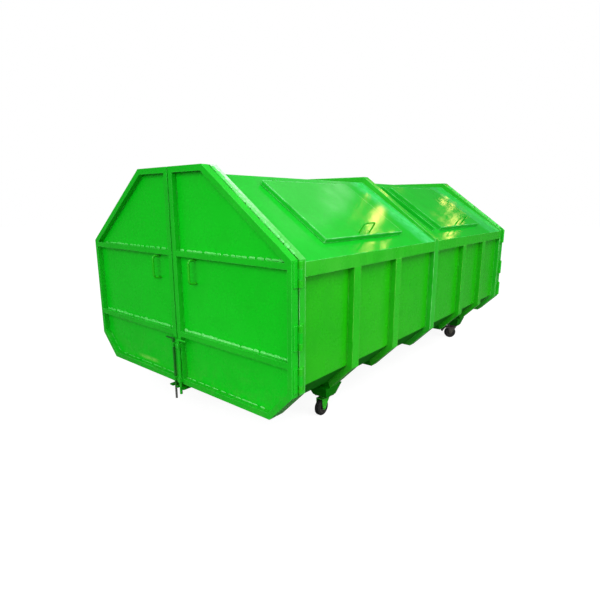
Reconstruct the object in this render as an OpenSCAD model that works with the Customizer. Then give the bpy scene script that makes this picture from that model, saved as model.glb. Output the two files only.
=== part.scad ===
// Roofed steel waste container on four swivel casters: double doors at both
// ends, four hatch lids on the sloping roof, drop bolts, ribs and rails.
// X runs across, Y along the length, Z up; the origin is on the ground, mid-length.

/* [Body] */
// Width of the body over its side ribs
body_w = 2200; // [2000:10:2400]
// Length over the closed doors
body_l = 3900; // [3600:10:4400]
// Height of the shoulder above the underside
shoulder_h = 1000; // [900:10:1150]
// Height of the flat ridge above the underside
ridge_h = 1545; // [1450:5:1700]
// Width of the flat ridge
ridge_w = 724; // [600:4:900]
// Width of the flat underside
base_w = 1834; // [1700:2:1900]
// Height of the slanted floor flare at each side
flare_h = 190; // [120:5:260]
// Clear height under the body
clearance = 240; // [220:5:320]

/* [Steelwork] */
// Thickness of the shell sheets
sheet_t = 4; // [3:0.5:6]
// Thickness of the pressed frames, ribs and rails
section_t = 5; // [4:0.5:8]
// Depth of the frames and ribs outside the shell
rib_d = 45; // [35:1:60]
// Width of each side rib
rib_w = 82; // [70:1:120]
// Width of the end frames
frame_w = 54; // [50:1:80]
// Width of the middle frame across the roof
middle_w = 65; // [50:1:80]
// Near edge of the middle frame from mid-length
middle_y = -41; // [-80:1:20]
// Pitch from the middle frame to the inner ribs
inner_pitch = 697; // [600:1:760]
// Pitch from the inner ribs to the outer ribs
outer_pitch = 577; // [480:1:600]
// Height of the shoulder rail's face
rail_h = 86; // [60:2:120]
// Drop of the roof sheet below the frames at the eave
eave_drop = 19; // [12:1:30]
// Drop of the roof sheet below the frames at the ridge
ridge_drop = 53; // [35:1:70]
// How far the door seat reaches in past the shell
seat_w = 36; // [20:2:60]

/* [Hatches] */
// Width of each lid along the body
lid_l = 1020; // [900:10:1150]
// Length of each lid up the slope
lid_s = 670; // [560:5:690]
// Height of the lid's rim
lid_h = 35; // [28:1:50]
// Thickness of the lid's plate and rim
lid_t = 3; // [2:0.5:4]
// Distance from the eave to the lid's lower edge
lid_eave = 132; // [120:2:150]
// Near edge of the front lids from mid-length
front_lid_y = -1500; // [-1600:5:-1400]
// Near edge of the back lids from mid-length
back_lid_y = 305; // [230:5:400]
// Margin of the roof opening inside the lid's edge
hatch_margin = 40; // [32:1:60]
// Thickness of the upstand round each opening
coaming_t = 8; // [5:1:10]
// Gap between a closed lid and its upstand
lid_gap = 0.5; // [0.3:0.1:1]

/* [Doors] */
// Thickness of each door at its frame
door_t = 55; // [45:1:65]
// Gap between the doors and the end frame
door_gap = 14; // [8:1:18]
// Gap between the two doors of a pair
seam_gap = 12; // [4:1:16]
// Face width of the door's outer members
edge_w = 40; // [30:2:55]
// Face width of the stile along the hinges
hinge_stile_w = 32; // [26:1:60]
// Face width of the stile along the seam
seam_stile_w = 40; // [36:1:80]
// Recess of the door panel behind its frame
panel_recess = 40; // [25:1:45]
// Height of the door's cross bars
bar_h = 38; // [28:2:50]
// Top of the upper cross bar above the underside
upper_bar_z = 984; // [900:2:990]
// Top of the lower cross bar above the underside
lower_bar_z = 403; // [350:1:480]

/* [Fittings] */
// Outer radius of the door hinge barrels
barrel_r = 14; // [11:0.5:16]
// Height of one door hinge
hinge_h = 150; // [110:2:180]
// Thickness of the hinge leaves
leaf_t = 6; // [4:0.5:8]
// Radius of the door hinge pins
pin_r = 7; // [5:0.5:8]
// Radial clearance of pins and axles in their bores
running = 0.05; // [0.02:0.01:0.1]
// Radius of the round bar of the handles
grip_r = 8; // [6:0.5:10]
// Length of the door handles
door_grip_l = 176; // [140:2:220]
// Stand-off of the door handles from the panel
door_grip_h = 62; // [50:1:80]
// Length of the lid handles
lid_grip_l = 152; // [120:2:200]
// Stand-off of the lid handles from the lid
lid_grip_h = 82; // [60:1:100]
// Radius of the painted drop bolts of the right-hand doors
right_bolt_r = 10; // [8:0.5:11]
// Radius of the bare drop bolts of the left-hand doors
left_bolt_r = 8; // [6:0.5:9]
// Reach of the painted drop bolts below the body
right_bolt_drop = 75; // [50:1:120]
// Reach of the bare drop bolts below the body
left_bolt_drop = 124; // [60:1:150]
// Radius of the lid hinge barrels
lid_barrel_r = 11; // [9:0.5:12]
// Radius of the lid hinge pins
lid_pin_r = 5; // [4:0.5:6]

/* [Casters] */
// Diameter of the wheels
wheel_d = 125; // [110:1:135]
// Width of the tyres
tyre_w = 40; // [30:1:46]
// Radius at which the tyre meets its hub
hub_r = 42; // [34:1:48]
// Height of a caster from ground to top plate
caster_h = 155; // [145:1:170]
// Trail of the wheel behind the swivel axis
trail = 35; // [25:1:45]
// Distance of the swivel axes in from the edges of the underside
caster_inset = 87; // [80:1:150]
// Distance of the swivel axes from mid-length
caster_y = 1266; // [1200:2:1320]
// Radius of the wheel axles
axle_r = 6; // [5:0.5:8]

/* [Hidden] */
$fn = 48;

// Paint and metal colours
green = [0.13, 0.72, 0.18];
roof_green = [0.18, 0.80, 0.24];
shade_green = [0.05, 0.45, 0.09];
steel = [0.55, 0.55, 0.53];
black = [0.06, 0.06, 0.06];

// Main planes
half_w = body_w / 2;
half_l = body_l / 2;
base_z = clearance;
door_back = half_l - door_t;
frame_face = door_back - door_gap;
seat_z = base_z + rib_d;
rail_bottom = base_z + shoulder_h - eave_drop - rail_h;
rib_near = [middle_y - inner_pitch - outer_pitch, middle_y - inner_pitch,
    middle_y + inner_pitch, middle_y + inner_pitch + outer_pitch];

// Unit inward normal of the edge from p to q of a counter-clockwise outline
function inward(p, q) = [p.y - q.y, q.x - p.x] / norm(q - p);

// Outline moved inwards by d, with its corners kept sharp
function inset(pts, d) = inset_each(pts, [for (p = pts) d]);

// Outline with each edge moved inwards by its own distance in the list d
function inset_each(pts, d) = [for (i = [0 : len(pts) - 1])
    let (n = len(pts), j = (i + n - 1) % n, a = inward(pts[j], pts[i]), b = inward(pts[i], pts[(i + 1) % n]))
    pts[i] + (a * (d[j] - d[i] * (a * b)) + b * (d[i] - d[j] * (a * b))) / (1 - pow(a * b, 2))];

// Mirror image of the right-hand half of an outline, added to it
function both_halves(pts) = concat(pts, [for (i = [len(pts) - 1 : -1 : 0]) [-pts[i].x, pts[i].y]]);

// Outer outline of the frames and doors
outline = both_halves([[base_w / 2, base_z], [half_w, base_z + flare_h],
    [half_w, base_z + shoulder_h], [ridge_w / 2, base_z + ridge_h]]);
web_line = inset(outline, section_t);
rib_line = inset(outline, rib_d);

// The roof sheet runs from the eave, behind the rail's face, to the ridge
eave = [half_w - section_t, base_z + shoulder_h - eave_drop];
ridge = [ridge_w / 2 - ridge_drop * tan(18), base_z + ridge_h - ridge_drop];
roof_a = atan2(ridge.y - eave.y, eave.x - ridge.x);
roof_len = norm(ridge - eave);
side_x = half_w - rib_d;
function roof_z(x) = eave.y + (eave.x - x) * tan(roof_a);

// Outer and inner faces of the shell
shell = both_halves([rib_line[0], rib_line[1], [side_x, roof_z(side_x)], ridge]);
lining = inset(shell, sheet_t);
seat_line = inset(outline, rib_d + sheet_t + seat_w);

// Prism along the length from y0 to y1 of a profile drawn in X and Z
module along(y0, y1) {
    translate([0, y1, 0])
        rotate([90, 0, 0])
            linear_extrude(y1 - y0)
                children();
}

module both_sides() {
    children();
    mirror([1, 0, 0])
        children();
}

// Copies a front right-hand piece to another corner
module corner(side, end) {
    mirror([side < 0 ? 1 : 0, 0, 0])
        mirror([0, end > 0 ? 1 : 0, 0])
            children();
}

// Frame of the left roof slope: X up the slope from the eave, Z out of the sheet
module on_roof() {
    translate([-eave.x, 0, eave.y])
        rotate([0, -roof_a, 0])
            children();
}

module on_slope(side) {
    mirror([side > 0 ? 1 : 0, 0, 0])
        on_roof()
            children();
}

// Shell: floor plate and flares, sides, roof slopes and ridge
sheet_y = frame_face - section_t;
roof_in = [-sin(roof_a), -cos(roof_a)] * sheet_t;
module floor_sheets() color(shade_green) {
    along(-sheet_y, sheet_y)
        polygon([shell[7], shell[0], lining[0], lining[7]]);
    both_sides()
        along(-sheet_y, sheet_y)
            polygon([shell[0], shell[1], lining[1], lining[0]]);
}

fit_gap = 0.05;
side_inner = lining[2] - [0, fit_gap];
module side_sheets() color(green)
    both_sides()
        along(-sheet_y, sheet_y)
            polygon([shell[1], [side_x, lining_z(side_x) - fit_gap], side_inner, lining[1]]);

module roof_sheet() {
    difference() {
        along(-sheet_y, sheet_y)
            polygon([eave, ridge, lining[3], eave + roof_in]);
        mirror([1, 0, 0])
            on_roof()
                for (y = [front_lid_y, back_lid_y])
                    translate([lid_eave + hatch_margin, y + hatch_margin, -3 * sheet_t])
                        cube([lid_s - 2 * hatch_margin, lid_l - 2 * hatch_margin, 6 * sheet_t]);
    }
}

module left_roof_sheet() color(roof_green)
    mirror([1, 0, 0])
        roof_sheet();

module right_roof_sheet() color(roof_green)
    roof_sheet();

module ridge_sheet() color(roof_green)
    along(-sheet_y, sheet_y)
        polygon([shell[3], shell[4], lining[4], lining[3]]);

// Pressed channel rings outside the shell
module shell_profile() {
    polygon(shell);
    both_sides()
        polygon([eave, ridge, lining[3], eave + roof_in]);
}

module web_ring() {
    difference() {
        polygon(outline);
        polygon(web_line);
    }
}

module flange_ring() {
    difference() {
        polygon(outline);
        shell_profile();
    }
}

module front_frame() color(green) {
    along(-frame_face, -frame_face + frame_w)
        web_ring();
    along(-frame_face, -frame_face + section_t)
        difference() {
            polygon(outline);
            polygon(seat_line);
        }
    along(-frame_face + frame_w - section_t, -frame_face + frame_w)
        flange_ring();
}

module back_frame() color(green)
    mirror([0, 1, 0])
        front_frame();

module below_rail() {
    intersection() {
        children();
        translate([-body_w, 0])
            square([2 * body_w, rail_bottom]);
    }
}

module middle_frame() color(green) {
    along(middle_y, middle_y + middle_w)
        web_ring();
    along(middle_y, middle_y + section_t)
        flange_ring();
    along(middle_y + middle_w - section_t, middle_y + middle_w)
        flange_ring();
    along(middle_y + middle_w - section_t, middle_y + rib_w)
        below_rail()
            web_ring();
    along(middle_y + rib_w - section_t, middle_y + rib_w)
        below_rail()
            flange_ring();
}

// Channel ribs down the sides and along the flares, under the rails
rib_flange = [outline[0], outline[1], [half_w, rail_bottom], [side_x, rail_bottom], shell[1], shell[0]];
rib_web = [outline[0], outline[1], [half_w, rail_bottom], [half_w - section_t, rail_bottom],
    web_line[1], web_line[0]];

module channel(y, web, flange) {
    along(y, y + rib_w)
        polygon(web);
    for (edge = [y, y + rib_w - section_t])
        along(edge, edge + section_t)
            polygon(flange);
}

module side_ribs() color(green)
    both_sides()
        for (y = rib_near)
            channel(y, rib_web, rib_flange);

module floor_bearers() color(shade_green)
    for (y = rib_near)
        channel(y, [outline[7], outline[0], web_line[0], web_line[7]],
            [outline[7], outline[0], shell[0], shell[7]]);

// Folded rails along the shoulders, between the frames
rail_lip = eave + [cos(roof_a), -sin(roof_a)] * fit_gap;
rail_profile = [[half_w, rail_bottom], [half_w, eave.y], rail_lip, rail_lip + roof_in * (1 + fit_gap / sheet_t),
    [side_x, lining_z(side_x) - 2 * fit_gap], [side_x, lining_z(side_x) - section_t],
    [half_w - section_t, lining_z(half_w - section_t) - section_t],
    [half_w - section_t, rail_bottom + section_t], [side_x, rail_bottom + section_t],
    [side_x, rail_bottom]];
function lining_z(x) = roof_z(x) - sheet_t / cos(roof_a);

module shoulder_rails() color(green)
    both_sides() {
        along(-frame_face + frame_w, middle_y)
            polygon(rail_profile);
        along(middle_y + middle_w, frame_face - frame_w)
            polygon(rail_profile);
    }

// Upstands round the four roof openings, with a guard strip beside each back lid
coaming_h = lid_h - lid_t - lid_gap;
strip_w = 12;
strip_y = 160;
module coaming(y) {
    translate([lid_eave + hatch_margin - coaming_t, y + hatch_margin - coaming_t, 0])
        difference() {
            cube([lid_s - 2 * (hatch_margin - coaming_t), lid_l - 2 * (hatch_margin - coaming_t), coaming_h]);
            translate([coaming_t, coaming_t, -1])
                cube([lid_s - 2 * hatch_margin, lid_l - 2 * hatch_margin, coaming_h + 2]);
        }
}

module hatch_coamings() color(green)
    for (side = [-1, 1])
        on_slope(side) {
            coaming(front_lid_y);
            coaming(back_lid_y);
            translate([lid_eave, back_lid_y - strip_y, 0])
                cube([lid_s, strip_w, lid_h]);
        }

// Hatch lids: plate with a turned-down rim and two hinge barrels at the ridge edge
lid_hinge_in = 170;
lid_hinge_y = [lid_hinge_in, lid_l - lid_hinge_in];
lid_knuckle_l = 44;
lug_l = 26;
barrel_clearance = 1.5;
lid_axis = [lid_eave + lid_s + lid_barrel_r + barrel_clearance, 20];
lug_foot = 10;
module lid(y) {
    difference() {
        union() {
            translate([lid_eave, y, 1])
                cube([lid_s, lid_l, lid_h - 1]);
            for (h = lid_hinge_y)
                translate([lid_axis.x, y + h, lid_axis.y])
                    rotate([90, 0, 0])
                        cylinder(r = lid_barrel_r, h = lid_knuckle_l, center = true);
            for (h = lid_hinge_y)
                translate([lid_eave + lid_s - 1, y + h - lid_knuckle_l / 2, lid_axis.y - lid_barrel_r / 2])
                    cube([lid_barrel_r + 1, lid_knuckle_l, lid_barrel_r]);
        }
        translate([lid_eave + lid_t, y + lid_t, 0])
            cube([lid_s - 2 * lid_t, lid_l - 2 * lid_t, lid_h - lid_t]);
        for (h = lid_hinge_y)
            translate([lid_axis.x, y + h, lid_axis.y])
                rotate([90, 0, 0])
                    cylinder(r = lid_pin_r + running, h = 2 * lid_knuckle_l, center = true);
    }
}

module lid_hinge_lug(y) {
    pin_l = lid_knuckle_l + 2 * lug_l + 8;
    translate([lid_axis.x, y, lid_axis.y])
        rotate([90, 0, 0])
            cylinder(r = lid_pin_r, h = pin_l, center = true);
    for (s = [-1, 1])
        translate([lid_axis.x, y + s * (lid_knuckle_l + lug_l + 2) / 2, 0]) {
            translate([0, 0, lid_axis.y])
                rotate([90, 0, 0])
                    cylinder(r = lid_barrel_r, h = lug_l, center = true);
            translate([-lug_foot + 2, -lug_l / 2, 0])
                cube([2 * lug_foot, lug_l, lid_axis.y]);
        }
}

module lid_hinge_lugs() color(green)
    for (side = [-1, 1], y = [front_lid_y, back_lid_y], h = lid_hinge_y)
        on_slope(side)
            lid_hinge_lug(y + h);

// Round bar bent to a U: feet at z = 0, grip along Y at height h
module bent_bar(l, h, r) {
    bend = 3 * r;
    for (s = [-1, 1]) {
        translate([0, s * (l / 2 - r), 0])
            cylinder(r = r, h = h - bend);
        translate([0, s * (l / 2 - r - bend), h - bend])
            rotate([90, 0, 90])
                mirror([s < 0 ? 1 : 0, 0, 0])
                    rotate_extrude(angle = 90)
                        translate([bend, 0])
                            circle(r = r);
    }
    translate([0, 0, h])
        rotate([90, 0, 0])
            cylinder(r = r, h = l - 2 * r - 2 * bend, center = true);
}

lid_grip_r = 0.75 * grip_r;
lid_grip_s = 30;
lid_grip_y = -25;
module lid_handle(y)
    translate([lid_eave + lid_grip_s, y + lid_l / 2 + lid_grip_y, lid_h])
        bent_bar(lid_grip_l, lid_grip_h, lid_grip_r);

// Doors: front right-hand door, in place
hinge_x = half_w + barrel_r + 1;
hinge_y = -door_back + door_gap / 2;
panel_y = -half_l + panel_recess;
door_members = [edge_w, hinge_stile_w, edge_w, edge_w, edge_w, hinge_stile_w, edge_w, edge_w];
module right_of(x) {
    intersection() {
        children();
        translate([x, 0])
            square([body_w, base_z + ridge_h + 1]);
    }
}

// Opening inside the door's outer members, grown by grow on all sides
module door_opening(grow = 0)
    right_of(seam_gap / 2 + seam_stile_w - grow)
        polygon(inset_each(outline, [for (w = door_members) w - grow]));

// Hollow of the door's outer members, which are channels open to the back
module member_hollow()
    difference() {
        right_of(seam_gap / 2 + section_t)
            polygon(web_line);
        door_opening(section_t);
    }

module band(z0, z1)
    translate([0, z0])
        square([body_w, z1 - z0]);

guide_side = 5;
bolt_x = seam_gap / 2 + seam_stile_w - right_bolt_r - guide_side;
bolt_y = -half_l - 13;
guide_z = [base_z + 18, base_z + lower_bar_z - bar_h - 84];
guide_h = 32;
module bolt_guide(r) {
    guide_w = 2 * (r + guide_side);
    difference() {
        translate([bolt_x - guide_w / 2, bolt_y - r - 6, 0])
            cube([guide_w, -half_l - bolt_y + r + 6, guide_h]);
        translate([bolt_x, bolt_y, -1])
            cylinder(r = r + running, h = guide_h + 2);
    }
}

module door_frame(bolt_r) {
    difference() {
        along(-half_l, -door_back)
            difference() {
                right_of(seam_gap / 2)
                    polygon(outline);
                door_opening();
            }
        along(-half_l + section_t, -door_back + 1)
            member_hollow();
    }
    for (z = [base_z + upper_bar_z, base_z + lower_bar_z])
        difference() {
            along(-half_l, panel_y)
                intersection() {
                    door_opening(section_t / 2);
                    band(z - bar_h, z);
                }
            along(-half_l + section_t, panel_y + 1)
                intersection() {
                    door_opening();
                    band(z - bar_h + section_t, z - section_t);
                }
        }
    for (z = guide_z)
        translate([0, 0, z])
            bolt_guide(bolt_r);
}

module door_panel()
    along(panel_y, panel_y + sheet_t)
        door_opening();

// Three hinges a door: a leaf and the middle knuckle, carried on the door's edge
hinge_z = [base_z + flare_h + hinge_h / 2 + 25, base_z + 0.55 * shoulder_h,
    base_z + shoulder_h - hinge_h / 2 - 6];
knuckle_h = hinge_h * 0.42;
side_knuckle_h = (hinge_h - knuckle_h) / 2 - 1;
module hinge_leaf(y0, y1, h)
    translate([half_w, y0, -h / 2])
        cube([leaf_t, y1 - y0, h]);

module door_hinge()
    difference() {
        union() {
            hinge_leaf(hinge_y - 46, hinge_y - barrel_r, hinge_h);
            translate([half_w, hinge_y - barrel_r - 2, -knuckle_h / 2])
                cube([leaf_t, barrel_r, knuckle_h]);
            translate([hinge_x, hinge_y, 0])
                cylinder(r = barrel_r, h = knuckle_h, center = true);
        }
        translate([hinge_x, hinge_y, 0])
            cylinder(r = pin_r + running, h = 2 * hinge_h, center = true);
    }

module door_hinges()
    for (z = hinge_z)
        translate([0, 0, z])
            door_hinge();

module hinge_post() {
    hinge_leaf(hinge_y + barrel_r, hinge_y + 48, hinge_h);
    translate([hinge_x, hinge_y, 0])
        cylinder(r = pin_r, h = hinge_h + 6, center = true);
    for (s = [-1, 1])
        translate([0, 0, s * (knuckle_h + side_knuckle_h + 2) / 2]) {
            translate([hinge_x, hinge_y, 0])
                cylinder(r = barrel_r, h = side_knuckle_h, center = true);
            translate([half_w, hinge_y + 2, -side_knuckle_h / 2])
                cube([leaf_t, barrel_r, side_knuckle_h]);
        }
}

module door_hinge_posts() color(green)
    for (side = [-1, 1], end = [-1, 1], z = hinge_z)
        corner(side, end)
            translate([0, 0, z])
                hinge_post();

grip_x = 210;
grip_z = base_z + upper_bar_z - bar_h - 8 - door_grip_l / 2;
module door_handle()
    translate([grip_x, panel_y, grip_z])
        rotate([90, 0, 0])
            bent_bar(door_grip_l, door_grip_h, grip_r);

// Drop bolt: upright rod with a cranked grip under the lower cross bar
lever_l = 78;
lever_r = 7;
lever_z = base_z + lower_bar_z - bar_h - 24;
module door_bolt(r, tip_z) {
    translate([bolt_x, bolt_y, tip_z])
        cylinder(r = r, h = lever_z + lever_r - tip_z);
    translate([bolt_x, bolt_y, lever_z])
        rotate([0, 90, 0])
            cylinder(r = lever_r, h = lever_l);
    translate([bolt_x + lever_l, bolt_y, lever_z])
        sphere(r = lever_r);
}

// Keeper bracket under each sill, with slots open to the front for the bolt tips
keeper_w = 168;
keeper_t = 10;
keeper_z = base_z - 28;
slot_half = right_bolt_r + 5;
keeper_front = bolt_y - right_bolt_r - 6;
slot_end = bolt_y + slot_half;
module sill_keeper() {
    translate([-keeper_w / 2, -frame_face, keeper_z])
        cube([keeper_w, keeper_t, base_z - keeper_z]);
    difference() {
        translate([-keeper_w / 2, keeper_front, keeper_z])
            cube([keeper_w, keeper_t - frame_face - keeper_front, keeper_t]);
        for (s = [-1, 1])
            translate([s * bolt_x - slot_half, keeper_front - 1, keeper_z - 1])
                cube([2 * slot_half, slot_end - keeper_front + 1, keeper_t + 2]);
    }
}

module sill_keepers() color(shade_green) {
    sill_keeper();
    mirror([0, 1, 0])
        sill_keeper();
}

// Drain hopper under the floor, with a stub pipe and a screwed cap
drain_top = 150;
drain_inset = 237;
drain_x = base_w / 2 - drain_inset;
drain_y = rib_near[2] + rib_w + drain_top / 2 + 5;
drain_bottom = 96;
drain_z = base_z - 62;
module tapered_box(top, bottom, z0, z1)
    intersection() {
        along(-top.y / 2, top.y / 2)
            polygon([[-bottom.x / 2, z0], [bottom.x / 2, z0], [top.x / 2, z1], [-top.x / 2, z1]]);
        rotate([0, 0, 90])
            along(-top.x / 2, top.x / 2)
                polygon([[-bottom.y / 2, z0], [bottom.y / 2, z0], [top.y / 2, z1], [-top.y / 2, z1]]);
    }

module drain_outlet() color(steel)
    translate([drain_x, drain_y, 0]) {
        tapered_box([drain_top, drain_top], [drain_bottom, drain_bottom], drain_z, seat_z);
        translate([0, 0, drain_z - 22])
            cylinder(r = 30, h = 22);
        translate([0, 0, drain_z - 40])
            cylinder(r = 36, h = 18, $fn = 8);
    }

// Tapered pads under the bearers, and the fixed caster plates with their kingpins
caster_x = base_w / 2 - caster_inset;
pad_top = [2 * caster_inset, 200];
pad_bottom = [124, 116];
plate_t = 6;
kingpin_r = 7;
head_r = 33;
crown_z = wheel_d + 4;
crown_t = 5;
module caster_pads() color(shade_green)
    for (x = [-caster_x, caster_x], y = [-caster_y, caster_y])
        translate([x, y, 0])
            tapered_box(pad_top, pad_bottom, caster_h, base_z);

module caster_plate() {
    translate([-pad_bottom.x / 2 + 6, -pad_bottom.y / 2 + 8, caster_h - plate_t])
        cube([pad_bottom.x - 12, pad_bottom.y - 16, plate_t]);
    translate([0, 0, crown_z - 5])
        cylinder(r = kingpin_r, h = caster_h - crown_z);
    translate([0, 0, crown_z - 5])
        cylinder(r = kingpin_r + 4, h = 4.7);
}

module caster_plates() color(steel)
    for (x = [-caster_x, caster_x], y = [-caster_y, caster_y])
        translate([x, y, 0])
            caster_plate();

// Casters stand as they were parked, each turned about its kingpin
park_fr = 0;
park_fl = -24;
park_br = -50;
park_bl = 64;
module parked(side, end, turn)
    translate([side * caster_x, end * caster_y, 0])
        rotate([0, 0, turn])
            children();

wheel_z = wheel_d / 2;
cheek_t = 5;
cheek_x = tyre_w / 2 + 5;
brake_pivot = [-trail - 50, wheel_d + 2];
brake_pin_r = 4;
cheek_profile = [[24, crown_z + crown_t], [24, crown_z - 4], [-trail + 15, wheel_z - 4], [-trail + 9, wheel_z - 14],
    [-trail - 9, wheel_z - 14], [-trail - 15, wheel_z - 4], [-trail - 24, crown_z - 22], [-trail - 24, crown_z + crown_t]];
ear_profile = [[-trail - 20, crown_z + crown_t], [-trail - 20, crown_z - 18],
    [brake_pivot.x - 8, brake_pivot.y - 8], [brake_pivot.x - 8, crown_z + crown_t]];

// Profile in the rolling direction, extruded across the wheel by t from x0
module across(x0, t)
    translate([x0, 0, 0])
        rotate([90, 0, 90])
            linear_extrude(t)
                children();

module caster_fork(ears) {
    difference() {
        union() {
            translate([-cheek_x - cheek_t, -trail - 24, crown_z])
                cube([2 * (cheek_x + cheek_t), trail + 48, crown_t]);
            translate([0, 0, crown_z + crown_t])
                cylinder(r1 = head_r - 5, r2 = head_r, h = caster_h - plate_t - crown_z - crown_t - 0.4);
            for (x = [-cheek_x - cheek_t, cheek_x]) {
                across(x, cheek_t)
                    polygon(cheek_profile);
                if (ears)
                    across(x, cheek_t)
                        polygon(ear_profile);
            }
        }
        translate([0, 0, crown_z - 1])
            cylinder(r = kingpin_r + running, h = caster_h);
        if (ears)
            translate([0, brake_pivot.x, brake_pivot.y])
                rotate([0, 90, 0])
                    cylinder(r = brake_pin_r + running, h = 3 * cheek_x, center = true);
    }
    translate([0, -trail, wheel_z])
        rotate([0, 90, 0])
            cylinder(r = axle_r, h = 2 * (cheek_x + cheek_t) + 8, center = true);
    for (x = [-cheek_x - cheek_t - 6, cheek_x + cheek_t])
        translate([x, -trail, wheel_z])
            rotate([0, 90, 0])
                cylinder(r = 1.7 * axle_r, h = 6, $fn = 6);
}

tyre_round = 10;
module caster_tyre()
    translate([0, -trail, wheel_z])
        rotate([0, 90, 0])
            rotate_extrude()
                intersection() {
                    translate([hub_r, -tyre_w / 2])
                        square([wheel_d / 2 - hub_r, tyre_w]);
                    union() {
                        translate([0, -tyre_w / 2 + tyre_round])
                            square([wheel_d / 2, tyre_w - 2 * tyre_round]);
                        translate([0, -tyre_w / 2])
                            square([wheel_d / 2 - tyre_round, tyre_w]);
                        for (z = [-1, 1])
                            translate([wheel_d / 2 - tyre_round, z * (tyre_w / 2 - tyre_round)])
                                circle(r = tyre_round);
                    }
                }

hub_boss_r = 14;
hub_dish = 9;
module caster_hub()
    translate([0, -trail, wheel_z])
        rotate([0, 90, 0])
            rotate_extrude()
                polygon([[axle_r + running, -cheek_x + 1], [hub_boss_r, -cheek_x + 1],
                    [hub_boss_r, -tyre_w / 2 + hub_dish], [hub_r - 7, -tyre_w / 2 + hub_dish],
                    [hub_r - 5, -tyre_w / 2], [hub_r, -tyre_w / 2], [hub_r, tyre_w / 2],
                    [hub_r - 5, tyre_w / 2], [hub_r - 7, tyre_w / 2 - hub_dish],
                    [hub_boss_r, tyre_w / 2 - hub_dish], [hub_boss_r, cheek_x - 1],
                    [axle_r + running, cheek_x - 1]]);

// Foot pedal of the wheel brake, on a pin through the fork's ears
module caster_brake() {
    translate([0, brake_pivot.x, brake_pivot.y])
        rotate([0, 90, 0])
            cylinder(r = brake_pin_r, h = 2 * (cheek_x + cheek_t) + 2, center = true);
    across(-cheek_x + 2, 2 * cheek_x - 4)
        translate(brake_pivot)
            polygon([[8, -3], [8, 5], [-12, 7], [-46, -38], [-50, -50], [-45, -52], [-40, -41], [-9, -5]]);
}

module front_right_door_frame() color(green)
    door_frame(right_bolt_r);

module front_right_door_panel() color(green)
    door_panel();

module front_right_door_hinges() color(green)
    door_hinges();

module front_right_door_handle() color(green)
    door_handle();

right_tip_z = base_z - right_bolt_drop;
left_tip_z = base_z - left_bolt_drop;
module front_right_door_bolt() color(green)
    door_bolt(right_bolt_r, right_tip_z);

module front_left_door_frame() color(green)
    corner(-1, -1)
        door_frame(left_bolt_r);

module front_left_door_panel() color(green)
    corner(-1, -1)
        door_panel();

module front_left_door_hinges() color(green)
    corner(-1, -1)
        door_hinges();

module front_left_door_handle() color(green)
    corner(-1, -1)
        door_handle();

module front_left_door_bolt() color(steel)
    corner(-1, -1)
        door_bolt(left_bolt_r, left_tip_z);

module back_right_door_frame() color(green)
    corner(1, 1)
        door_frame(left_bolt_r);

module back_right_door_panel() color(green)
    corner(1, 1)
        door_panel();

module back_right_door_hinges() color(green)
    corner(1, 1)
        door_hinges();

module back_right_door_handle() color(green)
    corner(1, 1)
        door_handle();

module back_right_door_bolt() color(steel)
    corner(1, 1)
        door_bolt(left_bolt_r, left_tip_z);

module back_left_door_frame() color(green)
    corner(-1, 1)
        door_frame(right_bolt_r);

module back_left_door_panel() color(green)
    corner(-1, 1)
        door_panel();

module back_left_door_hinges() color(green)
    corner(-1, 1)
        door_hinges();

module back_left_door_handle() color(green)
    corner(-1, 1)
        door_handle();

module back_left_door_bolt() color(green)
    corner(-1, 1)
        door_bolt(right_bolt_r, right_tip_z);

module front_right_lid() color(roof_green)
    on_slope(1)
        lid(front_lid_y);

module front_right_lid_handle() color(green)
    on_slope(1)
        lid_handle(front_lid_y);

module front_left_lid() color(roof_green)
    on_slope(-1)
        lid(front_lid_y);

module front_left_lid_handle() color(green)
    on_slope(-1)
        lid_handle(front_lid_y);

module back_right_lid() color(roof_green)
    on_slope(1)
        lid(back_lid_y);

module back_right_lid_handle() color(green)
    on_slope(1)
        lid_handle(back_lid_y);

module back_left_lid() color(roof_green)
    on_slope(-1)
        lid(back_lid_y);

module back_left_lid_handle() color(green)
    on_slope(-1)
        lid_handle(back_lid_y);

module front_right_caster_fork() color(green)
    parked(1, -1, park_fr)
        caster_fork(false);

module front_right_caster_tyre() color(black)
    parked(1, -1, park_fr)
        caster_tyre();

module front_right_caster_hub() color(steel)
    parked(1, -1, park_fr)
        caster_hub();

module front_left_caster_fork() color(green)
    parked(-1, -1, park_fl)
        caster_fork(false);

module front_left_caster_tyre() color(black)
    parked(-1, -1, park_fl)
        caster_tyre();

module front_left_caster_hub() color(steel)
    parked(-1, -1, park_fl)
        caster_hub();

module back_right_caster_fork() color(steel)
    parked(1, 1, park_br)
        caster_fork(true);

module back_right_caster_tyre() color(black)
    parked(1, 1, park_br)
        caster_tyre();

module back_right_caster_hub() color(steel)
    parked(1, 1, park_br)
        caster_hub();

module back_right_caster_brake() color(steel)
    parked(1, 1, park_br)
        caster_brake();

module back_left_caster_fork() color(steel)
    parked(-1, 1, park_bl)
        caster_fork(true);

module back_left_caster_tyre() color(black)
    parked(-1, 1, park_bl)
        caster_tyre();

module back_left_caster_hub() color(steel)
    parked(-1, 1, park_bl)
        caster_hub();

module back_left_caster_brake() color(steel)
    parked(-1, 1, park_bl)
        caster_brake();

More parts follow.
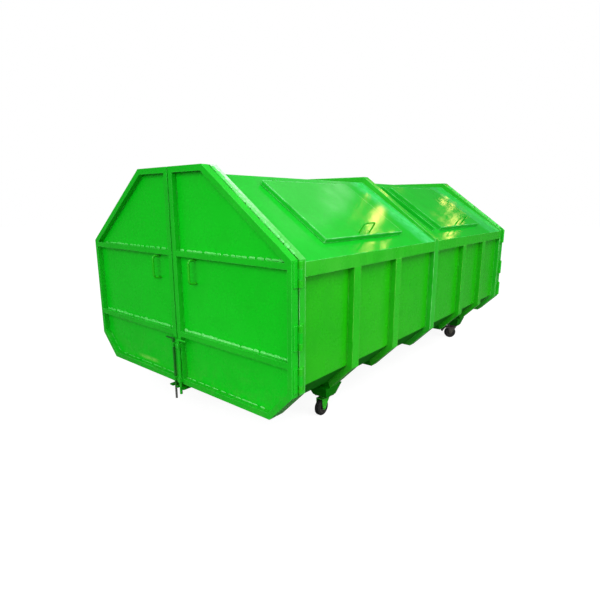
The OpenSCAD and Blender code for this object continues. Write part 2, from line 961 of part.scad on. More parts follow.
floor_sheets();
side_sheets();
left_roof_sheet();
right_roof_sheet();
ridge_sheet();
front_frame();
middle_frame();
back_frame();
side_ribs();
floor_bearers();
shoulder_rails();
hatch_coamings();
lid_hinge_lugs();
door_hinge_posts();
sill_keepers();
drain_outlet();
caster_pads();
caster_plates();
front_right_door_frame();
front_right_door_panel();
front_right_door_hinges();
front_right_door_handle();
front_right_door_bolt();
front_left_door_frame();
front_left_door_panel();
front_left_door_hinges();
front_left_door_handle();
front_left_door_bolt();
back_right_door_frame();
back_right_door_panel();
back_right_door_hinges();
back_right_door_handle();
back_right_door_bolt();
back_left_door_frame();
back_left_door_panel();
back_left_door_hinges();
back_left_door_handle();
back_left_door_bolt();
front_right_lid();
front_right_lid_handle();
front_left_lid();
front_left_lid_handle();
back_right_lid();
back_right_lid_handle();
back_left_lid();
back_left_lid_handle();
front_right_caster_fork();
front_right_caster_tyre();
front_right_caster_hub();
front_left_caster_fork();
front_left_caster_tyre();
front_left_caster_hub();
back_right_caster_fork();
back_right_caster_tyre();
back_right_caster_hub();
back_right_caster_brake();
back_left_caster_fork();
back_left_caster_tyre();
back_left_caster_hub();
back_left_caster_brake();
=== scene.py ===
import bpy
import bmesh
import math
import random
from mathutils import Matrix, Vector


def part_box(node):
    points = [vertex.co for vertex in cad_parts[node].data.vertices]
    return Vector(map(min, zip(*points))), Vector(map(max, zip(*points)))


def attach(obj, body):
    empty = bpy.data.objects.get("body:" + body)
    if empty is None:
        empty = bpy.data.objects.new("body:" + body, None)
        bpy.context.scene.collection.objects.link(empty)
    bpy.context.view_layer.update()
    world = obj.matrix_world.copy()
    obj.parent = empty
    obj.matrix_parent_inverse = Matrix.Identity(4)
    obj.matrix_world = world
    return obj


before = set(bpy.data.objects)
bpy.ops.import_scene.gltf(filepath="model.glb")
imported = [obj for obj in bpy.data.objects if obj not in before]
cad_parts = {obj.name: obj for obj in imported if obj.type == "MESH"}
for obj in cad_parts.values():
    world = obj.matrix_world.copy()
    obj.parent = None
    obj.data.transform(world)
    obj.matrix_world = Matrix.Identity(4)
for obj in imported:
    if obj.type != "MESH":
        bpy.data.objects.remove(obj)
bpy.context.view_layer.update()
bpy.ops.object.select_all(action="DESELECT")

# Camera, floor and light
# The view is from eye height, a little off the right-hand corner of the doors, and
# runs down the container; the floor and the space behind it are plain and pale.
bpy.context.scene.view_settings.view_transform = "Standard"
eye = Vector((2.679, -3.780, 1.549))
look_down, look_left = math.radians(12.297), math.radians(39.668)
bpy.ops.object.camera_add(location=eye, rotation=(math.radians(90) - look_down, 0, look_left))
camera = bpy.context.object
camera.data.sensor_width = 36
camera.data.lens = 26.82
camera.data.dof.use_dof = False
bpy.context.scene.camera = camera


def put(tree, kind, sockets=None, **settings):
    """A new shader node, with its settings and the values of its sockets."""
    node = tree.nodes.new(kind)
    for key, value in settings.items():
        setattr(node, key, value)
    for label, value in (sockets or {}).items():
        node.inputs[label].default_value = value
    return node


def axes_of(tree, vector):
    """The X, Y and Z of a vector."""
    split = put(tree, "ShaderNodeSeparateXYZ")
    tree.links.new(vector, split.inputs[0])
    return split.outputs


def span(tree, value, low, high, to_low=0.0, to_high=1.0):
    """A value moved from one range to another, and held inside it."""
    limits = {"From Min": low, "From Max": high, "To Min": to_low, "To Max": to_high}
    ranger = put(tree, "ShaderNodeMapRange", limits, clamp=True)
    tree.links.new(value, ranger.inputs["Value"])
    return ranger.outputs[0]


def shown_to_rays(tree, ordinary, looks):
    """One shader for ordinary light, and another for each kind of ray that is named."""
    for kind, look in looks:
        pick = put(tree, "ShaderNodeMixShader")
        tree.links.new(put(tree, "ShaderNodeLightPath").outputs[f"Is {kind} Ray"], pick.inputs[0])
        tree.links.new(ordinary, pick.inputs[1])
        tree.links.new(look.outputs[0], pick.inputs[2])
        ordinary = pick.outputs[0]
    return ordinary


# The gloss mirrors a sky that grows brighter with height, and the camera sees a white backdrop
sky = bpy.data.worlds.new("pale_room")
bpy.context.scene.world = sky
sky.use_nodes = True
tree = sky.node_tree
tree.nodes.clear()
room = put(tree, "ShaderNodeBackground", {"Color": (1, 1, 1, 1), "Strength": 0.80})
backdrop = put(tree, "ShaderNodeBackground", {"Color": (1, 1, 1, 1), "Strength": 1.0})
mirrored = put(tree, "ShaderNodeBackground", {"Color": (0.92, 1.0, 0.98, 1)})
way_up = axes_of(tree, put(tree, "ShaderNodeTexCoord").outputs["Generated"])["Z"]
tree.links.new(span(tree, way_up, 0.42, 1.0, to_low=0.08, to_high=0.58), mirrored.inputs["Strength"])
seen = shown_to_rays(tree, room.outputs[0],
                     (("Camera", backdrop), ("Transmission", backdrop), ("Glossy", mirrored)))
tree.links.new(seen, put(tree, "ShaderNodeOutputWorld").inputs[0])

# The floor looks white and keeps the shadow, and throws only a dull grey light back
bpy.ops.mesh.primitive_plane_add(size=60, location=(0, 0, 0))
floor = bpy.context.object
floor.name = "studio_floor"
floor_paint = bpy.data.materials.new("pale_floor")
floor_paint.use_nodes = True
tree = floor_paint.node_tree
tree.nodes.clear()
grey = put(tree, "ShaderNodeBsdfDiffuse", {"Color": (0.15, 0.15, 0.145, 1)})
pale = put(tree, "ShaderNodeBsdfDiffuse", {"Color": (0.9, 0.9, 0.9, 1)})
glow = put(tree, "ShaderNodeEmission", {"Strength": 1.14})
white = put(tree, "ShaderNodeMixShader", {"Fac": 0.80})
tree.links.new(pale.outputs[0], white.inputs[1])
tree.links.new(glow.outputs[0], white.inputs[2])
seen = shown_to_rays(tree, grey.outputs[0], (("Camera", white), ("Transmission", white)))
tree.links.new(seen, put(tree, "ShaderNodeOutputMaterial").inputs[0])
floor.data.materials.append(floor_paint)


def soft_lamp(name, place, aim, width, watts, tint=(1, 1, 1)):
    """A square lamp of the studio, turned to a point of the container."""
    bpy.ops.object.light_add(type="AREA", location=place)
    lamp = bpy.context.object
    lamp.name = name
    lamp.data.size = width
    lamp.data.energy = watts
    lamp.data.color = tint
    way = Vector(aim) - Vector(place)
    lamp.rotation_euler = way.to_track_quat("-Z", "Y").to_euler()


soft_lamp("lamp_over_right", (5.5, -1.5, 7.5), (0.6, 0, 1.0), 5.0, 430)
soft_lamp("lamp_front", (2.2, -8.6, 4.0), (0.2, -1.9, 0.9), 5.0, 330)
soft_lamp("lamp_by_right_door", (3.2, -4.6, 3.0), (0.6, -1.9, 1.0), 1.0, 14)
soft_lamp("lamp_side", (8.0, 0.5, 2.5), (1.0, 0, 0.8), 4.0, 190)

# Glints on the right-hand roof slope: each lamp stands on the ray that the camera sees mirrored there
eave_x, eave_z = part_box("right_roof_sheet")[1].x, 1.221
ridge_x, ridge_z = 0.345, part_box("right_roof_sheet")[1].z
roof_fall = math.atan2(ridge_z - eave_z, eave_x - ridge_x)
off_the_roof = Vector((math.sin(roof_fall), 0, math.cos(roof_fall)))
lamp_reach = 7.0


def lamp_in_roof(name, x, y, width, watts, tint=(1, 1, 1)):
    """A lamp that the camera sees mirrored at this spot of the roof slope."""
    spot = Vector((x, y, eave_z + (eave_x - x) * math.tan(roof_fall)))
    ray = (spot - eye).normalized()
    soft_lamp(name, spot + lamp_reach * ray.reflect(off_the_roof), spot, width, watts, tint)


lamp_in_roof("sky_on_front_lid", 0.53, -1.13, 1.7, 1.8)
lamp_in_roof("cloud_on_front_lid", 0.53, -0.75, 0.7, 0.8)

# The low sun glints in broken patches: across and along the roof, width of the lamp, watts
low_sun = (1.0, 0.66, 0.20)
front_lid_glints = [(0.77, -0.49, 0.22, 2.2), (0.91, -0.81, 0.14, 0.9),
                    (0.78, -0.81, 0.10, 0.12), (0.54, -0.27, 0.09, 0.2)]
back_lid_glints = [(0.55, 1.48, 0.14, 0.5), (0.73, 1.15, 0.14, 0.4), (0.90, 0.80, 0.12, 0.4)]
eave_glints = [(1.05, -1.07, 0.11, 1.0), (1.05, -0.84, 0.08, 0.5), (1.05, 0.40, 0.20, 1.3)]
for count, (x, y, width, watts) in enumerate(front_lid_glints + back_lid_glints + eave_glints):
    lamp_in_roof(f"low_sun_{count}", x, y, width, watts, low_sun)

# Painted sheets of the shell
# Folded steel plate, sprayed with one thick coat of gloss enamel; the sides are a
# shade yellower in the light than the roof, and the underside is painted dark as shade, with a little dust.


def tone(tree, place, scale, detail, roughness=0.55, stretch=None):
    """Cloudy variation over the piece, from 0 to 1."""
    if stretch:
        mapping = put(tree, "ShaderNodeMapping", {"Scale": stretch})
        tree.links.new(place, mapping.inputs["Vector"])
        place = mapping.outputs[0]
    cloud = put(tree, "ShaderNodeTexNoise", {"Scale": scale, "Detail": detail, "Roughness": roughness})
    tree.links.new(place, cloud.inputs["Vector"])
    return cloud.outputs["Fac"]


def reckon(tree, operation, first, second):
    """Arithmetic on two values, each a socket or a number."""
    node = put(tree, "ShaderNodeMath", operation=operation)
    for socket, value in zip(node.inputs, (first, second)):
        if isinstance(value, (int, float)):
            socket.default_value = value
        else:
            tree.links.new(value, socket)
    return node.outputs[0]


def times(tree, first, second):
    """One mask or strength multiplied by another."""
    return reckon(tree, "MULTIPLY", first, second)


def blend_of(tree, amount, first, second):
    """One colour laid over another."""
    node = put(tree, "ShaderNodeMix", data_type="RGBA")
    tree.links.new(amount, node.inputs[0])
    for socket, colour in zip((node.inputs[6], node.inputs[7]), (first, second)):
        if isinstance(colour, tuple):
            socket.default_value = (*colour, 1)
        else:
            tree.links.new(colour, socket)
    return node.outputs[2]


def place_on(tree):
    """Where a point lies on the container."""
    return put(tree, "ShaderNodeTexCoord").outputs["Object"]


def new_group(name, inputs, outputs):
    """An empty shader group with named sockets."""
    group = bpy.data.node_groups.new(name, "ShaderNodeTree")
    for label, kind, value in inputs:
        socket = group.interface.new_socket(label, in_out="INPUT", socket_type="NodeSocket" + kind)
        socket.default_value = value
    for label, kind in outputs:
        group.interface.new_socket(label, in_out="OUTPUT", socket_type="NodeSocket" + kind)
    return group, group.nodes.new("NodeGroupInput"), group.nodes.new("NodeGroupOutput")


# Sprayed enamel: broad fading, cloudy spray marks, runs, fine specks, road dust low down
enamel, given, result = new_group(
    "sprayed_enamel",
    [("Paint", "Color", (0.05, 0.5, 0.05, 1)), ("Faded", "Color", (0.1, 0.6, 0.1, 1)),
     ("Deep", "Color", (0.0, 0.3, 0.0, 1)), ("Dust", "Float", 0.3), ("Gloss", "Float", 0.3)],
    [("Color", "Color"), ("Roughness", "Float"), ("Height", "Float")])
faded, deep = given.outputs["Faded"], given.outputs["Deep"]
where = place_on(enamel)
fading = span(enamel, tone(enamel, where, scale=1.3, detail=3), 0.42, 0.68)
marks = span(enamel, tone(enamel, where, scale=7.0, detail=5, roughness=0.65), 0.45, 0.72)
tall = (24, 24, 1.6)
runs = span(enamel, tone(enamel, where, scale=1.0, detail=3, roughness=0.5, stretch=tall), 0.56, 0.78)
specks = span(enamel, tone(enamel, where, scale=150.0, detail=2), 0.62, 0.74)
dusty_from, dusty_to = 0.62, 0.16
low_down = span(enamel, axes_of(enamel, where)["Z"], dusty_from, dusty_to)
splashes = span(enamel, tone(enamel, where, scale=16.0, detail=6, roughness=0.7), 0.44, 0.66)
dust = times(enamel, times(enamel, low_down, splashes), given.outputs["Dust"])
coat = given.outputs["Paint"]
layers = [(fading, 0.55, faded), (marks, 0.28, deep), (runs, 0.22, faded), (specks, 0.25, deep)]
for mask, share, over in layers:
    coat = blend_of(enamel, times(enamel, mask, share), coat, over)
road_dust = (0.20, 0.17, 0.10)
enamel.links.new(blend_of(enamel, dust, coat, road_dust), result.inputs["Color"])
rough = reckon(enamel, "ADD", given.outputs["Gloss"], times(enamel, marks, 0.12))
rough = reckon(enamel, "ADD", rough, times(enamel, dust, 0.4))
enamel.links.new(rough, result.inputs["Roughness"])
orange_peel = times(enamel, tone(enamel, where, scale=240.0, detail=1), 0.05)
long_waves = times(enamel, tone(enamel, where, scale=2.6, detail=1, roughness=0.3), 3.2)
ripples = times(enamel, tone(enamel, where, scale=22.0, detail=3), 0.22)
tops = reckon(enamel, "ADD", reckon(enamel, "ADD", orange_peel, long_waves), ripples)
enamel.links.new(tops, result.inputs["Height"])

# Painted highlights along edges: where the smoothed normal leaves the flat one
edges, given, result = new_group(
    "edge_highlights", [("Width", "Float", 0.004), ("Patchy", "Float", 9.0)], [("Mask", "Float")])
soft_way = put(edges, "ShaderNodeBevel", samples=4)
edges.links.new(given.outputs["Width"], soft_way.inputs["Radius"])
turn = put(edges, "ShaderNodeVectorMath", operation="DOT_PRODUCT")
edges.links.new(put(edges, "ShaderNodeNewGeometry").outputs["Normal"], turn.inputs[0])
edges.links.new(soft_way.outputs[0], turn.inputs[1])
bent = span(edges, turn.outputs["Value"], 0.995, 0.86)
cloud = put(edges, "ShaderNodeTexNoise", {"Detail": 5})
edges.links.new(place_on(edges), cloud.inputs["Vector"])
edges.links.new(given.outputs["Patchy"], cloud.inputs["Scale"])
patchy = span(edges, cloud.outputs["Fac"], 0.36, 0.62, to_low=0.15)
edges.links.new(times(edges, bent, patchy), result.inputs["Mask"])


def painted(name, paint, faded, deep, rim_highlight, dust=0.12, gloss=0.24, wavy=0.25, edge=0.004, specular=0.45):
    """Enamel over steel: its fresh, faded and deep colours, a pale painted highlight along the edges and
    softened corners.
    """
    material = bpy.data.materials.new(name)
    material.use_nodes = True
    tree = material.node_tree
    shader = tree.nodes["Principled BSDF"]
    coat = put(tree, "ShaderNodeGroup", node_tree=enamel)
    for label, colour in (("Paint", paint), ("Faded", faded), ("Deep", deep)):
        coat.inputs[label].default_value = (*colour, 1)
    coat.inputs["Dust"].default_value = dust
    coat.inputs["Gloss"].default_value = gloss
    edge_glow = put(tree, "ShaderNodeGroup", node_tree=edges)
    edge_glow.inputs["Width"].default_value = edge
    edge_glow.inputs["Patchy"].default_value = 9.0
    highlit_coat = blend_of(tree, edge_glow.outputs["Mask"], coat.outputs["Color"], rim_highlight)
    tree.links.new(highlit_coat, shader.inputs["Base Color"])
    tree.links.new(coat.outputs["Roughness"], shader.inputs["Roughness"])
    corners = put(tree, "ShaderNodeBevel", {"Radius": 0.5 * edge}, samples=4)
    relief = put(tree, "ShaderNodeBump", {"Strength": wavy, "Distance": 0.002})
    tree.links.new(coat.outputs["Height"], relief.inputs["Height"])
    tree.links.new(corners.outputs[0], relief.inputs["Normal"])
    tree.links.new(relief.outputs[0], shader.inputs["Normal"])
    shader.inputs["Specular IOR Level"].default_value = specular
    return material


def lay_over(material, mask, colour):
    """Another colour on a painted piece, where the mask is one."""
    tree = material.node_tree
    base = tree.nodes["Principled BSDF"].inputs["Base Color"]
    tree.links.new(blend_of(tree, mask, base.links[0].from_socket, colour), base)


def finish(material, *nodes):
    """Gives CAD pieces their finish, in every slot."""
    for node in nodes:
        thing = bpy.data.objects[node]
        for slot in thing.material_slots:
            slot.material = material
        if not thing.material_slots:
            thing.data.materials.append(material)


# The fourth colour of each enamel is the painted highlight along its edges
side_paint = painted("side_enamel", (0.010, 0.400, 0.002), (0.026, 0.460, 0.006), (0.003, 0.310, 0.001),
                     (0.05, 0.60, 0.04), wavy=0.30, specular=0.3)
roof_paint = painted("roof_enamel", (0.006, 0.405, 0.016), (0.018, 0.465, 0.030), (0.003, 0.330, 0.008),
                     (0.20, 0.80, 0.26), dust=0.1, gloss=0.09, wavy=0.55, edge=0.006, specular=0.20)
# Painted shade: the sheets and parts under the body take a much darker green for the shade there
shaded_under_paint = painted("shaded_underside_enamel", (0.001, 0.190, 0.001), (0.002, 0.230, 0.002), (0.001, 0.130, 0.001),
                      (0.004, 0.26, 0.004), dust=0.05, gloss=0.6, specular=0.05)
finish(side_paint, "side_sheets")
finish(shaded_under_paint, "floor_sheets", "floor_bearers", "caster_pads", "sill_keepers")

# In front of the middle ring and the back ring the roof is painted paler and bluer in patches,
# as a painted reflection of the sky
tree = roof_paint.node_tree
place = place_on(tree)
along = axes_of(tree, place)["Y"]
patchy = span(tree, tone(tree, place, scale=14.0, detail=5, roughness=0.75), 0.32, 0.60, to_low=0.15)
before_middle_ring = times(tree, span(tree, along, -0.30, -0.17), span(tree, along, 0.0, -0.07))
before_back_ring = span(tree, along, 1.42, 1.52, to_high=0.6)
for sky_band in (before_middle_ring, before_back_ring):
    lay_over(roof_paint, times(tree, sky_band, patchy), (0.055, 0.56, 0.135))
finish(roof_paint, "left_roof_sheet", "right_roof_sheet", "ridge_sheet", "hatch_coamings")

# Rings, ribs and rails
# Pressed channel sections welded to the outside of the shell; their faces catch
# the light and look paler than the sheets behind them.
section_paint = painted("section_enamel", (0.010, 0.410, 0.004), (0.030, 0.480, 0.014), (0.003, 0.300, 0.001),
                        (0.12, 0.72, 0.12), wavy=0.2, specular=0.3)
rib_paint = painted("rib_enamel", (0.010, 0.410, 0.004), (0.030, 0.480, 0.014), (0.003, 0.300, 0.001),
                    (0.26, 0.78, 0.12), wavy=0.2, edge=0.006, specular=0.3)
ring_paint = painted("ring_enamel", (0.010, 0.430, 0.010), (0.050, 0.520, 0.040), (0.004, 0.320, 0.004),
                     (0.32, 0.86, 0.34), gloss=0.16, wavy=0.5, edge=0.008, specular=0.4)
rail_paint = painted("rail_enamel", (0.014, 0.410, 0.006), (0.080, 0.520, 0.050), (0.003, 0.300, 0.001),
                     (0.12, 0.72, 0.12), wavy=0.2, specular=0.3)
finish(rail_paint, "shoulder_rails")
finish(section_paint, "lid_hinge_lugs", "door_hinge_posts")
finish(rib_paint, "side_ribs")
finish(ring_paint, "middle_frame", "back_frame")


def variant_of(material, name):
    """A second finish that starts as a copy of the first."""
    variant = material.copy()
    variant.name = name
    return variant


# On the slopes of the front ring, faces turned up are painted almost white toward the ridge,
# in fine speckles, as a painted sheen of the sky
sheen_from, sheen_to = 1.36, 1.74
ring_sheen_paint = variant_of(ring_paint, "ring_sheen_enamel")
tree = ring_sheen_paint.node_tree
place = place_on(tree)
facing_up = axes_of(tree, put(tree, "ShaderNodeNewGeometry").outputs["Normal"])["Z"]
toward_ridge = span(tree, axes_of(tree, place)["Z"], sheen_from, sheen_to, to_low=0.10, to_high=0.95)
speckles = span(tree, tone(tree, place, scale=34.0, detail=4, roughness=0.8), 0.34, 0.60, to_low=0.45)
ring_sheen = times(tree, times(tree, toward_ridge, span(tree, facing_up, 0.35, 0.5)), speckles)
lay_over(ring_sheen_paint, ring_sheen, (0.55, 0.92, 0.58))
finish(ring_sheen_paint, "front_frame")

# Doors
# Each door is a welded frame of square tube with a flat panel set back in it, a bent
# round-bar handle, three hinge leaves and a drop bolt down the seam.
door_paint = painted("door_enamel", (0.002, 0.510, 0.008), (0.006, 0.560, 0.014), (0.001, 0.430, 0.005),
                     (0.04, 0.62, 0.06), wavy=0.22, specular=0.22)
door_frame_paint = painted("door_frame_enamel", (0.003, 0.430, 0.008), (0.014, 0.500, 0.016),
                           (0.001, 0.330, 0.004), (0.08, 0.66, 0.10), wavy=0.2, specular=0.25)
ends, hands = ("front", "back"), ("left", "right")
for door in [f"{end}_{hand}_door" for end in ends for hand in hands]:
    finish(door_paint, door + "_panel")
    finish(door_frame_paint, door + "_frame", door + "_hinges", door + "_bolt")
    finish(section_paint, door + "_handle")

# A pale streaky band is laid along the foot of the left-hand front door
pale_band_x, pale_band_z, pale_band_half_long, pale_band_half_high = -0.46, 0.318, 0.17, 0.022
pale_band_paint = variant_of(door_paint, "pale_band_enamel")
tree = pale_band_paint.node_tree
place = place_on(tree)
axes = axes_of(tree, place)
beside = reckon(tree, "ABSOLUTE", reckon(tree, "SUBTRACT", axes["X"], pale_band_x), 0)
above = reckon(tree, "ABSOLUTE", reckon(tree, "SUBTRACT", axes["Z"], pale_band_z), 0)
streaks = span(tree, tone(tree, place, scale=20.0, detail=4, roughness=0.7, stretch=(1, 1, 4)), 0.35, 0.6,
               to_low=0.2, to_high=0.9)
pale_band = times(tree, span(tree, beside, pale_band_half_long, 0.05), span(tree, above, pale_band_half_high, 0.004))
lay_over(pale_band_paint, times(tree, pale_band, streaks), (0.20, 0.62, 0.08))
finish(pale_band_paint, "front_left_door_panel")

# One bolt at each end is sprayed dark, and rubbed bare where it slides through its keeper
bolt_paint = painted("bolt_enamel", (0.002, 0.130, 0.006), (0.010, 0.220, 0.014), (0.001, 0.070, 0.003),
                     (0.05, 0.40, 0.06), edge=0.002)
painted_above, bare_below = 0.222, 0.206
tree = bolt_paint.node_tree
bare = span(tree, axes_of(tree, place_on(tree))["Z"], painted_above, bare_below)
lay_over(bolt_paint, bare, (0.17, 0.17, 0.16))
tree.links.new(times(tree, bare, 0.5), tree.nodes["Principled BSDF"].inputs["Metallic"])
finish(bolt_paint, "front_left_door_bolt", "back_right_door_bolt")

# Door welds
# The panel is stitched to the frame and to the cross bars by short hand-laid beads,
# raised and rippled, and painted over with the rest of the door.
# The beads on the bar tops and along the sill take a paler enamel as a painted highlight; the others share
# the frame's
weld_highlight_paint = painted("weld_highlight_enamel", (0.050, 0.620, 0.070), (0.250, 0.800, 0.260), (0.020, 0.420, 0.024),
                     (0.42, 0.90, 0.44), gloss=0.12, wavy=0.5, edge=0.002, specular=0.6)
bead_radius, bead_length, bead_rings = 0.0050, 0.050, 9
crest, trough, end_taper, near_taper = 1.22, 0.90, 0.30, 0.75


def pick_in_edit(thing, kind, wanted):
    """Selects the vertices, edges or faces that a test picks, in edit mode."""
    bpy.ops.mesh.select_all(action="DESELECT")
    bpy.ops.mesh.select_mode(type=kind)
    shape = bmesh.from_edit_mesh(thing.data)
    parts = {"VERT": shape.verts, "EDGE": shape.edges, "FACE": shape.faces}[kind]
    for part in parts:
        part.select_set(wanted(part))
    shape.select_flush_mode()
    bmesh.update_edit_mesh(thing.data)


def weld_bead():
    """One bead along X, with the ripples of the puddle and tapered ends."""
    bpy.ops.mesh.primitive_cylinder_add(vertices=8, radius=bead_radius, depth=bead_length,
                                        rotation=(0, math.radians(90), 0))
    bead = bpy.context.object
    bpy.ops.object.transform_apply(location=False, rotation=True, scale=False)
    bpy.ops.object.mode_set(mode="EDIT")
    pick_in_edit(bead, "EDGE", lambda edge: abs(edge.verts[0].co.x - edge.verts[1].co.x) > 0.5 * bead_length)
    bpy.ops.mesh.subdivide(number_cuts=bead_rings)
    for ring in range(bead_rings + 2):
        here = -bead_length / 2 + ring * bead_length / (bead_rings + 1)
        swell = crest if ring % 2 else trough
        swell *= {0: end_taper, 1: near_taper}.get(min(ring, bead_rings + 1 - ring), 1.0)
        pick_in_edit(bead, "VERT", lambda vert: abs(vert.co.x - here) < 1e-4)
        bpy.ops.transform.resize(value=(1, swell, swell))
    bpy.ops.mesh.select_all(action="SELECT")
    bpy.ops.mesh.normals_make_consistent(inside=False)
    bpy.ops.object.mode_set(mode="OBJECT")
    bpy.ops.object.shade_smooth_by_angle(angle=math.radians(60))
    return bead


def weld_line(bead, start, stop, pitch, rng, size=1.0, depth=1.0):
    """Copies of the bead along a line, uneven as a hand leaves them; depth flattens them on a thin sheet."""
    start, stop = Vector(start), Vector(stop)
    way = stop - start
    turned = way.to_track_quat("X", "Z").to_matrix().to_4x4()
    beads, gone = [], rng.uniform(0.3, 0.9) * pitch
    while gone < way.length - 0.4 * pitch:
        copy = bead.copy()
        copy.data = bead.data.copy()
        long = rng.uniform(0.75, 1.35)
        stout = size * rng.uniform(0.75, 1.25)
        copy.data.transform(Matrix.Translation(start + way.normalized() * gone) @ turned
                            @ Matrix.Diagonal((long, depth * stout, stout, 1)))
        bpy.context.collection.objects.link(copy)
        beads.append(copy)
        gone += pitch * rng.uniform(0.75, 1.3)
    return beads


def joined(name, parts, material, body):
    """Many copies made one piece, riding on a body."""
    bpy.ops.object.select_all(action="DESELECT")
    for part in parts:
        part.select_set(True)
    bpy.context.view_layer.objects.active = parts[0]
    bpy.ops.object.join()
    piece = bpy.context.object
    piece.name = name
    piece.data.materials.clear()
    piece.data.materials.append(material)
    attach(piece, body)
    piece.select_set(False)
    return piece


# The corners of a right-hand panel, from its box and from where its sides slope in
panel_low, panel_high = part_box("front_right_door_panel")
seam_x, stile_x, sill_z, head_z = panel_low.x, panel_high.x, panel_low.z, panel_high.z
flare_in, flare_up = 0.900, 0.4545
shoulder_x, ridge_in = 1.0543, 0.3489
low_bar, high_bar = (0.605, 0.643), (1.186, 1.224)
bead_out, bead_depth = 0.004, 0.35
weld_y = bead_out - panel_low.y

# Each line of beads has its two ends, the pitch of the beads and how stout they are
highlit_stitches = [
    ((seam_x, sill_z), (flare_in, sill_z), 0.066, 1.1), ((flare_in, sill_z), (stile_x, flare_up), 0.060, 0.9),
    ((seam_x, low_bar[1]), (stile_x, low_bar[1]), 0.050, 2.8),
    ((seam_x, high_bar[1]), (shoulder_x, high_bar[1]), 0.064, 1.9)]
dull_welds = [(start, stop, 0.110, 0.5) for start, stop in (
    ((stile_x, flare_up), (stile_x, low_bar[0])), ((seam_x, low_bar[0]), (stile_x, low_bar[0])),
    ((seam_x, sill_z), (seam_x, low_bar[0])), ((stile_x, low_bar[1]), (stile_x, high_bar[0])),
    ((seam_x, high_bar[0]), (stile_x, high_bar[0])), ((seam_x, low_bar[1]), (seam_x, high_bar[0])),
    ((shoulder_x, high_bar[1]), (ridge_in, head_z)), ((seam_x, head_z), (ridge_in, head_z)),
    ((seam_x, high_bar[1]), (seam_x, head_z)))]
weld_kinds = [("stitches", highlit_stitches, weld_highlight_paint), ("welds", dull_welds, door_frame_paint)]
bead = weld_bead()
rng = random.Random(7)
for end, y in zip(ends, (-weld_y, weld_y)):
    for hand, x_sign in zip(hands, (-1, 1)):
        for kind, lines, paint in weld_kinds:
            beads = []
            for (x0, z0), (x1, z1), pitch, size in lines:
                start, stop = (x_sign * x0, y, z0), (x_sign * x1, y, z1)
                beads += weld_line(bead, start, stop, pitch, rng, size, bead_depth)
            joined(f"{end}_{hand}_door_{kind}", beads, paint, f"{end}_{hand}_door")

# Body welds
# The ribs, the middle ring and the shoulder rails are welded to the side sheets by the
# same hand-laid beads, up both edges of each rib and along the foot of the rail.
weld_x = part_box("side_sheets")[1].x + 0.002
flare_top, rail_z = 0.450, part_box("shoulder_rails")[0].z
rail_end, rib_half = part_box("shoulder_rails")[1].y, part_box("middle_frame")[1].y
outer_rib, inner_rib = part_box("side_ribs")[1].y - rib_half, 0.697
rib_middles = (-outer_rib, -inner_rib, 0, inner_rib, outer_rib)
rib_edges = [middle + half for middle in rib_middles for half in (-rib_half, rib_half)]
bay_edges = [-rail_end] + rib_edges + [rail_end]
body_pitch, body_size = 0.15, 0.6
beads = []
for x in (-weld_x, weld_x):
    for y in rib_edges:
        beads += weld_line(bead, (x, y, flare_top), (x, y, rail_z), body_pitch, rng, body_size)
    for y0, y1 in zip(bay_edges[::2], bay_edges[1::2]):
        beads += weld_line(bead, (x, y0, rail_z), (x, y1, rail_z), body_pitch, rng, body_size)
joined("body_welds", beads, section_paint, "container")

# Ring stitches
# The slopes of the end rings carry a close row of heavy beads along their outer edge,
# where the face of the ring is welded to its rim; their pale enamel is a painted highlight.
stitch_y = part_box("front_frame")[0].y + 0.002
low_corner, top_corner = (1.080, 1.255), (0.380, 1.772)
ring_pitch, ring_size = 0.046, 2.0
beads = []
for y in (stitch_y, -stitch_y):
    for x_sign in (-1, 1):
        beads += weld_line(bead, (x_sign * low_corner[0], y, low_corner[1]),
                           (x_sign * top_corner[0], y, top_corner[1]), ring_pitch, rng, ring_size)
joined("ring_stitches", beads, weld_highlight_paint, "container")
bpy.data.objects.remove(bead)

# Lids
# Folded trays that lie over the upstands of the roof openings, each with a handle
# bent from round bar near its lower edge; their enamel is the glossiest of all.
lid_paint = painted("lid_enamel", (0.008, 0.430, 0.018), (0.022, 0.490, 0.034), (0.003, 0.350, 0.008),
                    (0.28, 0.86, 0.36), dust=0.1, gloss=0.09, wavy=1.0, edge=0.010, specular=0.38)
for lid in [f"{end}_{hand}_lid" for end in ends for hand in hands]:
    finish(lid_paint, lid)
    finish(section_paint, lid + "_handle")

# Casters and drain
# Pressed steel forks with solid rubber tyres on nylon hubs, under bare steel plates; the
# front forks are painted, and the back forks, their brakes and the drain are worn steel.


def mottled(name, colour, other, roughness, metallic, grain):
    """A finish with a fine mottle of two tones."""
    material = bpy.data.materials.new(name)
    material.use_nodes = True
    tree = material.node_tree
    shader = tree.nodes["Principled BSDF"]
    mottle = span(tree, tone(tree, place_on(tree), grain, detail=6, roughness=0.7), 0.35, 0.68)
    tree.links.new(blend_of(tree, mottle, colour, other), shader.inputs["Base Color"])
    tree.links.new(span(tree, mottle, 0, 1, roughness, roughness + 0.2), shader.inputs["Roughness"])
    relief = put(tree, "ShaderNodeBump", {"Strength": 0.3, "Distance": 0.001})
    tree.links.new(mottle, relief.inputs["Height"])
    tree.links.new(relief.outputs[0], shader.inputs["Normal"])
    shader.inputs["Metallic"].default_value = metallic
    return material


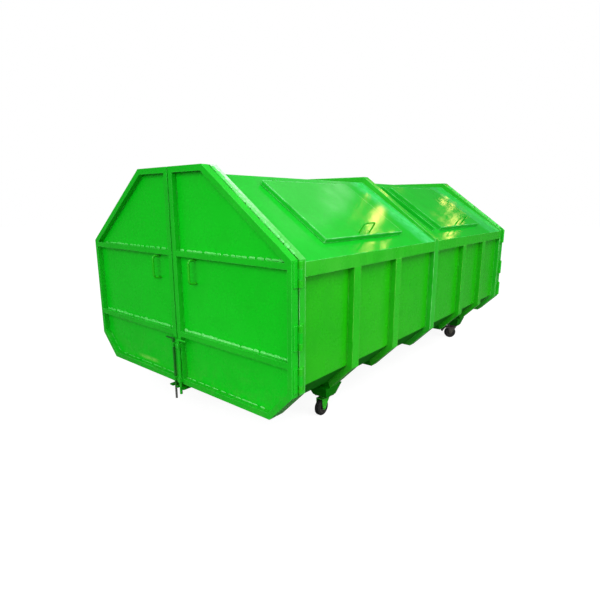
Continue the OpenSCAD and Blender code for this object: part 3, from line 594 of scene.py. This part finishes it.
rubber = mottled("solid_rubber", (0.004, 0.004, 0.004), (0.010, 0.010, 0.010),
                 roughness=0.70, metallic=0.0, grain=60)
nylon = mottled("dark_nylon", (0.020, 0.020, 0.018), (0.050, 0.048, 0.042),
                roughness=0.5, metallic=0.0, grain=30)
bare_steel = mottled("bare_steel", (0.30, 0.30, 0.29), (0.16, 0.13, 0.10),
                     roughness=0.38, metallic=0.9, grain=45)
worn_steel = mottled("worn_steel", (0.12, 0.12, 0.10), (0.05, 0.045, 0.03),
                     roughness=0.5, metallic=0.4, grain=40)
rusted_steel = mottled("rusted_steel", (0.30, 0.27, 0.22), (0.09, 0.10, 0.06),
                       roughness=0.6, metallic=0.2, grain=14)
for end, fork_paint in zip(ends, (section_paint, worn_steel)):
    for caster in [f"{end}_{hand}_caster" for hand in hands]:
        finish(rubber, caster + "_tyre")
        finish(nylon, caster + "_hub")
        finish(fork_paint, caster + "_fork")
finish(worn_steel, "back_left_caster_brake", "back_right_caster_brake")
finish(bare_steel, "caster_plates")
finish(rusted_steel, "drain_outlet")

# Caster bolts
# Each caster plate is held to its pad by four bare steel bolts from below; their
# hexagon heads bear on round washers and stand at odd angles, as they were tightened.
head_radius, head_height = 0.0075, 0.0060
rim_in, rim_down = 0.16 * head_radius, 0.14 * head_height
washer_radius, washer_thick, washer_z = 1.55 * head_radius, 0.0016, -0.0006


def hexagon_head():
    """A bolt head that hangs below its washer, with a chamfered underside."""
    bpy.ops.mesh.primitive_cylinder_add(vertices=6, radius=head_radius, depth=head_height,
                                        location=(0, 0, -head_height / 2))
    head = bpy.context.object
    bpy.ops.object.mode_set(mode="EDIT")
    pick_in_edit(head, "FACE", lambda face: face.normal.z < -0.9)
    bpy.ops.mesh.inset(thickness=rim_in)
    bpy.ops.transform.translate(value=(0, 0, -rim_down))
    bpy.ops.mesh.select_all(action="DESELECT")
    bpy.ops.mesh.primitive_cylinder_add(vertices=24, radius=washer_radius, depth=washer_thick,
                                        location=(0, 0, washer_z))
    bpy.ops.object.mode_set(mode="OBJECT")
    return head


head = hexagon_head()
plate_half_x, plate_half_y, plate_thick = 0.056, 0.050, 0.006
caster_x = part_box("caster_plates")[1].x - plate_half_x
caster_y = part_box("caster_plates")[1].y - plate_half_y
plate_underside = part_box("caster_pads")[0].z - plate_thick
bolt_across, bolt_along = 0.046, 0.040
heads = []
for x in (-caster_x, caster_x):
    for y in (-caster_y, caster_y):
        for dx in (-bolt_across, bolt_across):
            for dy in (-bolt_along, bolt_along):
                copy = head.copy()
                copy.data = head.data.copy()
                copy.data.transform(Matrix.Translation((x + dx, y + dy, plate_underside))
                                    @ Matrix.Rotation(rng.uniform(0, 1), 4, "Z"))
                bpy.context.collection.objects.link(copy)
                heads.append(copy)
bolts = joined("caster_bolts", heads, bare_steel, "container")
bpy.data.objects.remove(head)
